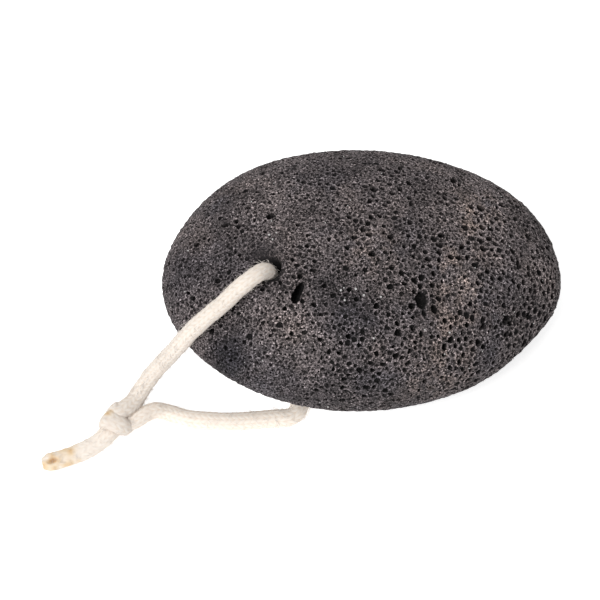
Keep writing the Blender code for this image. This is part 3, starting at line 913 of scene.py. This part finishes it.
# %% Crystals
# Each crystal: x and y seen from above, and its half size, all in millimetres.
CRYSTALS = ((-22.7, 0.4, 0.32), (-21.9, -0.9, 0.26), (-21.0, 0.9, 0.2), (-5.8, -14.5, 0.32),
            (-5.1, -13.9, 0.22), (-2.3, -14.1, 0.34), (-0.4, -15.5, 0.32), (-4.9, -16.8, 0.28),
            (3.6, -15.7, 0.28), (1.9, -24.8, 0.28), (20.1, -21.9, 0.28), (14.0, -22.0, 0.24))
STRAY_CRYSTALS = 90
STRAY_SIZES = (0.1, 0.2)
CRYSTAL_OUT = 0.3  # share of its half size by which a crystal's middle stands out
LEAST_CRYSTAL_HEIGHT = 6.0 * MM  # lower down, the worn underside has lost its crystals
TOP_HEIGHT = 39.0  # of the stone, near enough to find the place under each crystal


def add_crystals(mesh, rng):
    """Join the crystals to the mesh, and count those that are high enough to be there."""
    named = on_stone(np.array([(x, y, TOP_HEIGHT) for x, y, _ in CRYSTALS]) * MM)
    dirs = np.vstack([named, random_directions(rng, STRAY_CRYSTALS)])
    sizes = np.array([*(size for *_, size in CRYSTALS),
                      *rng.uniform(*STRAY_SIZES, STRAY_CRYSTALS)]) * MM
    net = bmesh.new()
    net.from_mesh(mesh)
    mark = net.verts.layers.float.new("crystal")
    count = 0
    for place, outward, size in zip(ground_egg(dirs) + to_table, egg_normals(dirs), sizes):
        if place[2] < LEAST_CRYSTAL_HEIGHT:
            continue
        count += 1
        grain = bmesh.ops.create_icosphere(net, subdivisions=1, radius=size)["verts"]
        bmesh.ops.translate(net, verts=grain, vec=place + outward * CRYSTAL_OUT * size)
        for vert in grain:
            vert[mark] = 1.0
    net.to_mesh(mesh)
    net.free()
    return count


print("crystals:", add_crystals(stone.data, np.random.default_rng(21)))


# %% [markdown]
# ## Marks that belong to places
# Some marks are not random: painted shade darkens the named dents and the inside of the hole,
# more painted shade darkens the hole's upper lip, a paler vein of pinkish glass crosses the stone,
# and the grey is broadly lighter or darker from place to place, partly with painted shade towards
# the rims. Each is worked out for every corner of the mesh from its distance to a named place, and
# kept as a value that the finish reads.

# %% Place marks
VEIN = ((27.0, 12.0), (22.0, -7.0), (22.5, -14.0), (18.5, -25.0), (16.0, -32.0))  # seen from above
VEIN_WIDTH = 6.5
VEIN_SPOT = (1.2, -2.8)
VEIN_SPOT_RADIUS = 6.0
# Painted shade at the hole's upper lip: place, radius and strength, twice.
MOUTH_SHADE_SPOTS = (((-24.6, -5.0), 3.3, 0.85), ((-24.2, -4.4), 1.7, 1.0))
# Marks on the top fade out down the sides, between these heights.
MARKS_FROM, MARKS_FULL = 14 * MM, 22 * MM
INSIDE_HOLE = 4.1 * MM  # from its axis
HOLE_SKIN = 0.5 * MM  # below the mouth, where the inside starts
HOLE_LENGTH = 34 * MM
# Broad lighter and darker places, partly the grey's own unevenness and partly painted shade towards
# the rims: x, y, radius, and how much lighter.
TONES_AND_RIM_SHADE = ((-42, -6, 8, -0.5), (-34, 11, 6, -0.16), (-33, -26, 5.5, -0.68), (-22, 9, 7, 0.32),
         (-17, -23, 7, 0.38), (-3.5, -18.5, 7.5, -0.46), (-13, -9, 6, -0.12), (-4.5, 18, 8, -0.14),
         (1.2, -2.8, 6, 0.32), (22.5, -10, 6.5, 0.38), (26, 10, 7, 0.5), (1.5, -27, 4, 0.2),
         (35, -11, 6, -0.22), (38, 5, 5, -0.16), (44, -3, 5, 0.5), (30, -21, 5, -0.14),
         (4, -34, 9, -0.26), (-9, -35, 5, -0.25), (-18, -33, 5, -0.42))


def distance_to_line(points, line):
    """The shortest distance from every point to a line of joined pieces."""
    nearest = np.full(len(points), 1e9)
    for start, end in zip(np.array(line), np.array(line)[1:]):
        along = end - start
        t = np.clip((points - start) @ along / along.dot(along), 0.0, 1.0)[:, None]
        nearest = np.minimum(nearest, np.linalg.norm(points - start - along * t, axis=1))
    return nearest


def spot(points, middle, radius):
    """1 at the middle, fading out to 0 well past the radius."""
    return np.exp(-((np.linalg.norm(points - np.array(middle), axis=1) / radius) ** 2))


def mark_places(mesh):
    count = len(mesh.vertices)
    places, depth = np.empty(count * 3), np.empty(count)
    mesh.vertices.foreach_get("co", places)
    mesh.attributes["depth"].data.foreach_get("value", depth)
    places = places.reshape(-1, 3)
    # Painted shade: the named dents and the inside of the hole get a higher depth value, which the
    # finish turns dark.
    for hollow, middle, outward in zip(HOLLOWS, hollow_places, hollow_outward):
        away = places - middle
        below = -(away @ outward) / MM
        near = np.linalg.norm(away, axis=1) < (1.3 * max(hollow[3:5]) + 0.6 * below) * MM
        sunk = np.where(near & (below > 0.15), np.clip(0.35 + below * 0.4, 0.0, 1.0), 0.0)
        depth = np.maximum(depth, sunk)
    top, axis = np.array(BORE_TOP), np.array((BORE_BOTTOM - BORE_TOP).normalized())
    down = (places - top) @ axis
    off_axis = np.linalg.norm(places - top - down[:, None] * axis, axis=1)
    inside = (off_axis < INSIDE_HOLE) & (down > HOLE_SKIN) & (down < HOLE_LENGTH)
    depth[inside] = np.maximum(depth, np.clip(0.3 + down / (3.0 * MM), 0.0, 1.0))[inside]
    mesh.attributes["depth"].data.foreach_set("value", depth)
    seen = places[:, :2] / MM
    upward = np.clip((places[:, 2] - MARKS_FROM) / (MARKS_FULL - MARKS_FROM), 0.0, 1.0)
    # Painted shade round the hole's upper lip, fading out down the sides.
    mouth_shade = np.max([gain * spot(seen, at, radius) for at, radius, gain in MOUTH_SHADE_SPOTS], axis=0) * upward
    vein = np.exp(-((distance_to_line(seen, VEIN) / VEIN_WIDTH) ** 2))
    vein = np.maximum(vein, 0.8 * spot(seen, VEIN_SPOT, VEIN_SPOT_RADIUS)) * upward
    tone_and_shade = 1.0 + sum(gain * spot(seen, (x, y), radius) for x, y, radius, gain in TONES_AND_RIM_SHADE) * upward
    for label, values in (("mouth_shade", mouth_shade), ("vein", vein), ("tone_and_shade", np.clip(tone_and_shade, 0.3, 1.7) / 2)):
        mesh.attributes.new(label, "FLOAT", "POINT").data.foreach_set("value", values)


mark_places(stone.data)
print("marks:", [a.name for a in stone.data.attributes if a.data_type == "FLOAT"])


# %% [markdown]
# ## Fuzz on the cotton
# Cotton thread is spun from short fibres, and their loose ends stand out as a soft halo. Here a
# small Geometry Nodes tree scatters bent hairs over the cord and the knot. Each hair is a
# three-sided tube along a curve with one bend, so it stays cheap.

# %% The fuzz tree
LEAST_HAIR = 0.4 * MM


def fuzz_tree():
    tree, given = open_tree("cotton_fuzz", (
        ("Hairs per Square Metre", "NodeSocketFloat", 1.1e6),
        ("Hair Length", "NodeSocketFloat", 1.5 * MM), ("Hair Radius", "NodeSocketFloat", 0.034 * MM),
        ("Seed", "NodeSocketInt", 2), ("Material", "NodeSocketMaterial", None)))
    points = add_node(tree, "GeometryNodeDistributePointsOnFaces", 2, 0, {
        "Mesh": given["Geometry"], "Density": given["Hairs per Square Metre"],
        "Seed": given["Seed"]}).outputs
    bend = add_node(tree, "GeometryNodeCurveQuadraticBezier", 2, 2, {
        "Resolution": 3, "Start": (0.0, 0.0, -0.1), "Middle": (0.25, 0.0, 0.5),
        "End": (1.0, 0.0, 0.42)}).outputs[0]
    thick = maths(tree, "DIVIDE", 1, 4, given["Hair Radius"], given["Hair Length"])
    section = add_node(tree, "GeometryNodeCurvePrimitiveCircle", 2, 4, {
        "Resolution": 3, "Radius": thick}).outputs["Curve"]
    hair = add_node(tree, "GeometryNodeCurveToMesh", 4, 2, {
        "Curve": bend, "Profile Curve": section, "Fill Caps": True}).outputs[0]
    spin = add_node(tree, "FunctionNodeRandomValue", 3, 5, {3: 2 * math.pi},
                    data_type="FLOAT").outputs[1]
    turned = add_node(tree, "FunctionNodeRotateEuler", 5, 4, {
        "Rotation": points["Rotation"], "Angle": spin}, rotation_type="AXIS_ANGLE",
        space="LOCAL").outputs[0]
    length = add_node(tree, "FunctionNodeRandomValue", 5, 6, {
        2: LEAST_HAIR, 3: given["Hair Length"]}, data_type="FLOAT").outputs[1]
    placed = add_node(tree, "GeometryNodeInstanceOnPoints", 7, 0, {
        "Points": points["Points"], "Instance": hair, "Rotation": turned, "Scale": length})
    return close_tree(tree, placed.outputs[0], given["Material"], 8)


cotton_finish = bpy.data.materials.new("cotton")
fuzz_finish = bpy.data.materials.new("cotton_fuzz")
for piece in (cord, knot):
    piece.data.materials.append(cotton_finish)
hairs = fuzz_tree()
fuzz = []
for piece, seed in ((cord, 2), (knot, 3)):
    obj = bpy.data.objects.new(piece.name + "_fuzz", piece.data.copy())
    bpy.context.scene.collection.objects.link(obj)
    grow(obj, hairs, {"Seed": seed, "Material": fuzz_finish})
    obj.data.shade_smooth()
    level_rest(obj.data)
    fuzz.append(obj)
    print(obj.name, "triangles:", triangles_in(obj.data))


# %% [markdown]
# ## Helpers for the finishes
# Both materials need soft irregular patches, the stone for its brownish veins and the
# cotton for its handling marks, so the patches are one node group that gives back a mask.
# The other helpers are one call each for what both shaders do often: read a value kept on the
# mesh, lay a colour over it, and mix or multiply two colours.

# %% A shared mask of soft patches, and short names for common nodes
def noise(tree, row, inputs):
    return add_node(tree, "ShaderNodeTexNoise", 1, row, inputs).outputs["Fac"]


def patches_group():
    group = bpy.data.node_groups.new("soft_patches", "ShaderNodeTree")
    for label, kind, value in (("Vector", "NodeSocketVector", None),
                               ("Scale", "NodeSocketFloat", 40.0),
                               ("Least", "NodeSocketFloat", 0.5), ("Most", "NodeSocketFloat", 0.65)):
        socket = group.interface.new_socket(label, in_out="INPUT", socket_type=kind)
        if value is not None:
            socket.default_value = value
    group.interface.new_socket("Mask", in_out="OUTPUT", socket_type="NodeSocketFloat")
    given = add_node(group, "NodeGroupInput", 0, 0).outputs
    cloud = noise(group, 0, {"Vector": given["Vector"], "Scale": given["Scale"],
                             "Detail": 5.0, "Roughness": 0.6})
    mask = add_node(group, "ShaderNodeMapRange", 2, 0, {
        "Value": cloud, "From Min": given["Least"], "From Max": given["Most"]},
        interpolation_type="SMOOTHSTEP").outputs["Result"]
    add_node(group, "NodeGroupOutput", 3, 0, {"Mask": mask})
    return group


soft_patches = patches_group()


def patches(tree, vector, row, scale, least, most):
    return add_node(tree, "ShaderNodeGroup", 1, row, node_tree=soft_patches, inputs={
        "Vector": vector, "Scale": scale, "Least": least, "Most": most}).outputs["Mask"]


def kept_value(tree, label, row):
    """A value that the mesh keeps under that name."""
    return add_node(tree, "ShaderNodeAttribute", 0, row, attribute_name=label).outputs["Fac"]


def mix(tree, mask, first, second, column, row, kind="MIX"):
    """Colour mixed from first to second by a mask; each may be a socket or a fixed colour."""
    return add_node(tree, "ShaderNodeMix", column, row, {0: mask, 6: first, 7: second},
                    data_type="RGBA", blend_type=kind).outputs[2]


def times(tree, first, second, column, row):
    return mix(tree, 1.0, first, second, column, row, "MULTIPLY")


def ramp(tree, value, column, row, stops):
    """A colour ramp over a value. A stop's colour is three numbers, or one for a plain grey."""
    node = add_node(tree, "ShaderNodeValToRGB", column, row, {"Fac": value})
    elements = node.color_ramp.elements
    while len(elements) < len(stops):
        elements.new(0.5)
    for element, (place, colour) in zip(elements, stops):
        rgb = colour if isinstance(colour, tuple) else (colour,) * 3
        element.position, element.color = place, (*rgb, 1.0)
    return node.outputs["Color"]


def bump(tree, height, strength, distance, row):
    return add_node(tree, "ShaderNodeBump", 8, row, {
        "Height": height, "Strength": strength, "Distance": distance}).outputs["Normal"]


def set_shader(material, finish):
    """Fill in the material's shader from what the finish works out, socket by socket."""
    material.use_nodes = True
    tree = material.node_tree
    shader = tree.nodes["Principled BSDF"]
    shader.location = (1900, 0)
    tree.nodes["Material Output"].location = (2200, 0)
    for name, value in finish(tree).items():
        if isinstance(value, bpy.types.NodeSocket):
            tree.links.new(value, shader.inputs[name])
        else:
            shader.inputs[name].default_value = value


print("shared mask:", soft_patches.name)


# %% [markdown]
# ## Pumice
# Dry pumice has no shine at all. What the eye reads is light and dark, and much of it is painted
# into the colour here: painted shade nearly black inside each pore and down the sides, a painted
# highlight on the thin rims and painted glints on some grains, with a fine glassy grain on the walls
# and broad warm and cool places over all of it. Each of those is one layer that multiplies the
# colour so far. A painted image would blur up close, while these layers stay sharp, because they are
# worked out from the place.

# %% Pumice
GREY = (0.114, 0.097, 0.098, 1.0)
TAN = (0.186, 0.146, 0.132, 1.0)
BLUE_GREY = (0.074, 0.067, 0.074, 1.0)
MOUTH_SHADE_BLACK = (0.02, 0.018, 0.02, 1.0)
CRYSTAL_WHITE = (0.50, 0.49, 0.48, 1.0)
VEIN_TAN, FAINT_TAN = 0.85, 0.25  # how far the grey turns to tan, in the vein and elsewhere
MOUTH_SHADE_COVER = 0.92
# Broad tone and painted shade against the kept value, which is 0.5 where the stone is neither
# lighter nor darker.
TONE_AND_SHADE_STOPS = ((0.2, (0.37, 0.385, 0.42)), (0.5, 1.0), (0.75, (1.52, 1.5, 1.46)))
DRIFT_STOPS = ((0.36, 0.8), (0.64, 1.22))
GRAIN_STOPS = ((0.36, 0.2), (0.5, 0.75), (0.63, 2.8))
GRAIN_AND_GLINT_STOPS = ((0.1, 0.42), (0.5, 0.9), (0.75, 1.2), (0.92, 2.3))
SIDE_SHADE_STOPS = ((0.12, 0.62), (0.45, 0.78), (0.7, 1.0))
SIDE_SCALE = 25.0  # turns a height of 40 mm into 1
DOT_SHADE_STOPS = ((0.27, 0.04), (0.4, 1.0))
OPEN_DOT_STOPS = ((0.3, 0.0), (0.38, 1.0))
# Painted highlight on the rims and painted shade in the pits, against the depth value.
RIM_LIGHT_AND_PIT_SHADE_STOPS = ((0.0, 0.86), (0.27, 1.4), (0.42, 0.38), (0.85, 0.045))


def voronoi(tree, place, row, scale):
    return add_node(tree, "ShaderNodeTexVoronoi", 1, row, {"Vector": place, "Scale": scale}).outputs


def pumice(tree):
    place = add_node(tree, "ShaderNodeTexCoord", 0, 0).outputs["Object"]
    base = mix(tree, patches(tree, place, 0, 60.0, 0.45, 0.75), GREY, BLUE_GREY, 2, 0)
    vein = maths(tree, "MULTIPLY", 2, 1, kept_value(tree, "vein", 1),
                 patches(tree, place, 1, 260.0, 0.42, 0.66))
    base = mix(tree, maths(tree, "MULTIPLY", 3, 1, vein, VEIN_TAN), base, TAN, 3, 0)
    faint = patches(tree, place, 2, 90.0, 0.5, 0.7)
    base = mix(tree, maths(tree, "MULTIPLY", 3, 2, faint, FAINT_TAN), base, TAN, 4, 0)
    # Broad light and dark: named places first, partly painted shade towards the rims, then random
    # patches on every side.
    base = times(tree, base, ramp(tree, kept_value(tree, "tone_and_shade", 11), 3, 11, TONE_AND_SHADE_STOPS), 4, 11)
    cloud = noise(tree, 12, {"Vector": place, "Scale": 110.0, "Detail": 3.0, "Roughness": 0.5})
    base = times(tree, base, ramp(tree, cloud, 3, 12, DRIFT_STOPS), 4, 12)
    # Grain of the glassy walls: a soft noise, and single grains that each have their own grey, the
    # brightest of them painted glints.
    grain = noise(tree, 3, {"Vector": place, "Scale": 2500.0, "Detail": 2.0, "Roughness": 0.9})
    base = times(tree, base, ramp(tree, grain, 3, 3, GRAIN_STOPS), 5, 0)
    grains_and_glints = voronoi(tree, place, 13, 2900.0)
    base = times(tree, base, ramp(tree, grains_and_glints["Color"], 3, 13, GRAIN_AND_GLINT_STOPS), 5, 13)
    # Painted shade: the sides are made darker towards the table.
    height = add_node(tree, "ShaderNodeSeparateXYZ", 1, 9, {0: place}).outputs["Z"]
    lift = maths(tree, "MULTIPLY", 2, 9, height, SIDE_SCALE)
    base = times(tree, base, ramp(tree, lift, 3, 9, SIDE_SHADE_STOPS), 6, 9)
    # Bubbles too small to be cut into the mesh: dots of painted shade on the walls between the
    # pores.
    dots = voronoi(tree, place, 5, 1500.0)
    dot = ramp(tree, dots["Distance"], 3, 5, DOT_SHADE_STOPS)
    open_dot = ramp(tree, dots["Color"], 3, 4, OPEN_DOT_STOPS)
    base = mix(tree, open_dot, base, times(tree, base, dot, 5, 5), 6, 0)
    # Painted highlight on the thin rims, and painted shade that makes each pore nearly black inside.
    base = times(tree, base, ramp(tree, kept_value(tree, "depth", 6), 3, 6, RIM_LIGHT_AND_PIT_SHADE_STOPS), 7, 0)
    # Painted shade on the hole's upper lip.
    mouth_shade = maths(tree, "MULTIPLY", 3, 7, kept_value(tree, "mouth_shade", 7), MOUTH_SHADE_COVER)
    base = mix(tree, mouth_shade, base, MOUTH_SHADE_BLACK, 8, 0)
    base = mix(tree, kept_value(tree, "crystal", 8), base, CRYSTAL_WHITE, 9, 0)
    normal = bump(tree, mix(tree, 0.5, grain, dot, 7, 4), 0.7, 0.15 * MM, 4)
    return {"Base Color": base, "Roughness": 0.92, "Specular IOR Level": 0.25, "Normal": normal}


set_shader(stone_finish, pumice)
print("pumice nodes:", len(stone_finish.node_tree.nodes))


# %% [markdown]
# ## Cotton
# Unbleached cotton is a warm off-white, and painted shade makes the grooves of the braid darker and
# pinker. The loose hairs are thin enough to look grey against a white ground, so they get a painted
# grey shade. The dipped end runs from tan to a burnt orange in its hollow, by the stain value kept
# on the cord.

# %% Cotton
COTTON_GROOVE_SHADE_STOPS = ((0.0, (0.48, 0.34, 0.23)), (0.22, (0.82, 0.67, 0.53)), (0.75, (0.95, 0.87, 0.78)))
HANDLED = (0.90, 0.79, 0.69, 1.0)
STAIN_STOPS = ((0.05, 1.0), (0.35, (0.92, 0.80, 0.62)), (0.6, (0.77, 0.57, 0.35)),
               (0.95, (0.52, 0.30, 0.12)))
DARKENING_STOPS = ((0.0, 1.0), (1.0, (0.67, 0.675, 0.69)))
# Painted shade: the hairs get a grey that stands for how they look against the white table.
HAIR_SHADE_GREY = (0.62, 0.57, 0.53, 1.0)


def cotton(tree):
    place = add_node(tree, "ShaderNodeTexCoord", 0, 0).outputs["Object"]
    # Painted shade in the braid's grooves, from the groove value.
    base = ramp(tree, kept_value(tree, "painted_groove_shade", 2), 2, 1, COTTON_GROOVE_SHADE_STOPS)
    base = mix(tree, patches(tree, place, 0, 160.0, 0.48, 0.75), base, HANDLED, 3, 0)
    base = times(tree, base, ramp(tree, kept_value(tree, "stain", 3), 2, 3, STAIN_STOPS), 4, 0)
    # The strand over the stone and the knot are made darker by the darkening value.
    base = times(tree, base, ramp(tree, kept_value(tree, "darkening", 4), 2, 4, DARKENING_STOPS), 4, 3)
    threads = noise(tree, 5, {"Vector": place, "Scale": 2600.0, "Detail": 3.0})
    return {"Base Color": base, "Roughness": 0.9, "Specular IOR Level": 0.2,
            "Normal": bump(tree, threads, 0.5, 0.08 * MM, 4)}


set_shader(cotton_finish, cotton)
set_shader(fuzz_finish, lambda tree: {
    "Base Color": HAIR_SHADE_GREY, "Roughness": 1.0, "Specular IOR Level": 0.1})
print("cotton nodes:", len(cotton_finish.node_tree.nodes))


# %% [markdown]
# ## Table and light
# A white table under two large soft lamps, with a pale sky all round, gives the even light of a
# catalogue picture. The table glows a little by itself, which leaves only a faint shadow.

# %% Stage
WHITE = (1.0, 1.0, 1.0, 1.0)
TABLE_WHITE = (0.9, 0.9, 0.9, 1.0)
TABLE_HALF_SIZE = 1.5
TABLE_GLOW = 0.62
SKY_STRENGTH = 0.5


def make_table():
    net = bmesh.new()
    bmesh.ops.create_grid(net, x_segments=1, y_segments=1, size=TABLE_HALF_SIZE)
    mesh = bpy.data.meshes.new("table")
    net.to_mesh(mesh)
    net.free()
    material = bpy.data.materials.new("white_table")
    set_shader(material, lambda tree: {
        "Base Color": TABLE_WHITE, "Roughness": 0.9, "Specular IOR Level": 0.1,
        "Emission Color": WHITE, "Emission Strength": TABLE_GLOW})
    mesh.materials.append(material)
    obj = bpy.data.objects.new("table", mesh)
    bpy.context.scene.collection.objects.link(obj)


def make_lamp(name, place, size, power):
    lamp = bpy.data.lights.new(name, "AREA")
    lamp.size, lamp.energy = size, power
    obj = bpy.data.objects.new(name, lamp)
    obj.location = place
    obj.rotation_mode = "QUATERNION"
    obj.rotation_quaternion = (-Vector(place)).to_track_quat("-Z", "Y")
    bpy.context.scene.collection.objects.link(obj)


def make_sky():
    world = bpy.data.worlds.new("sky")
    world.use_nodes = True
    back = world.node_tree.nodes["Background"]
    back.inputs["Color"].default_value = WHITE
    back.inputs["Strength"].default_value = SKY_STRENGTH
    bpy.context.scene.world = world


make_table()
make_lamp("key_lamp", (-0.42, -0.42, 0.75), 0.5, 6.6)
make_lamp("top_lamp", (0.0, 0.2, 0.9), 0.7, 0.8)
make_sky()
bpy.context.scene.view_settings.view_transform = "Standard"
print("table, lamps and sky ready")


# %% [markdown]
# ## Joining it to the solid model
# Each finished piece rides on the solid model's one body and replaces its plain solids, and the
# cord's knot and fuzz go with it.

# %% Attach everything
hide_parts("pumice_stone")
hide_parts("cord_loop", "cord_tail")
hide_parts("knot")
for piece in (stone, cord, knot, *fuzz):
    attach(piece, "root")
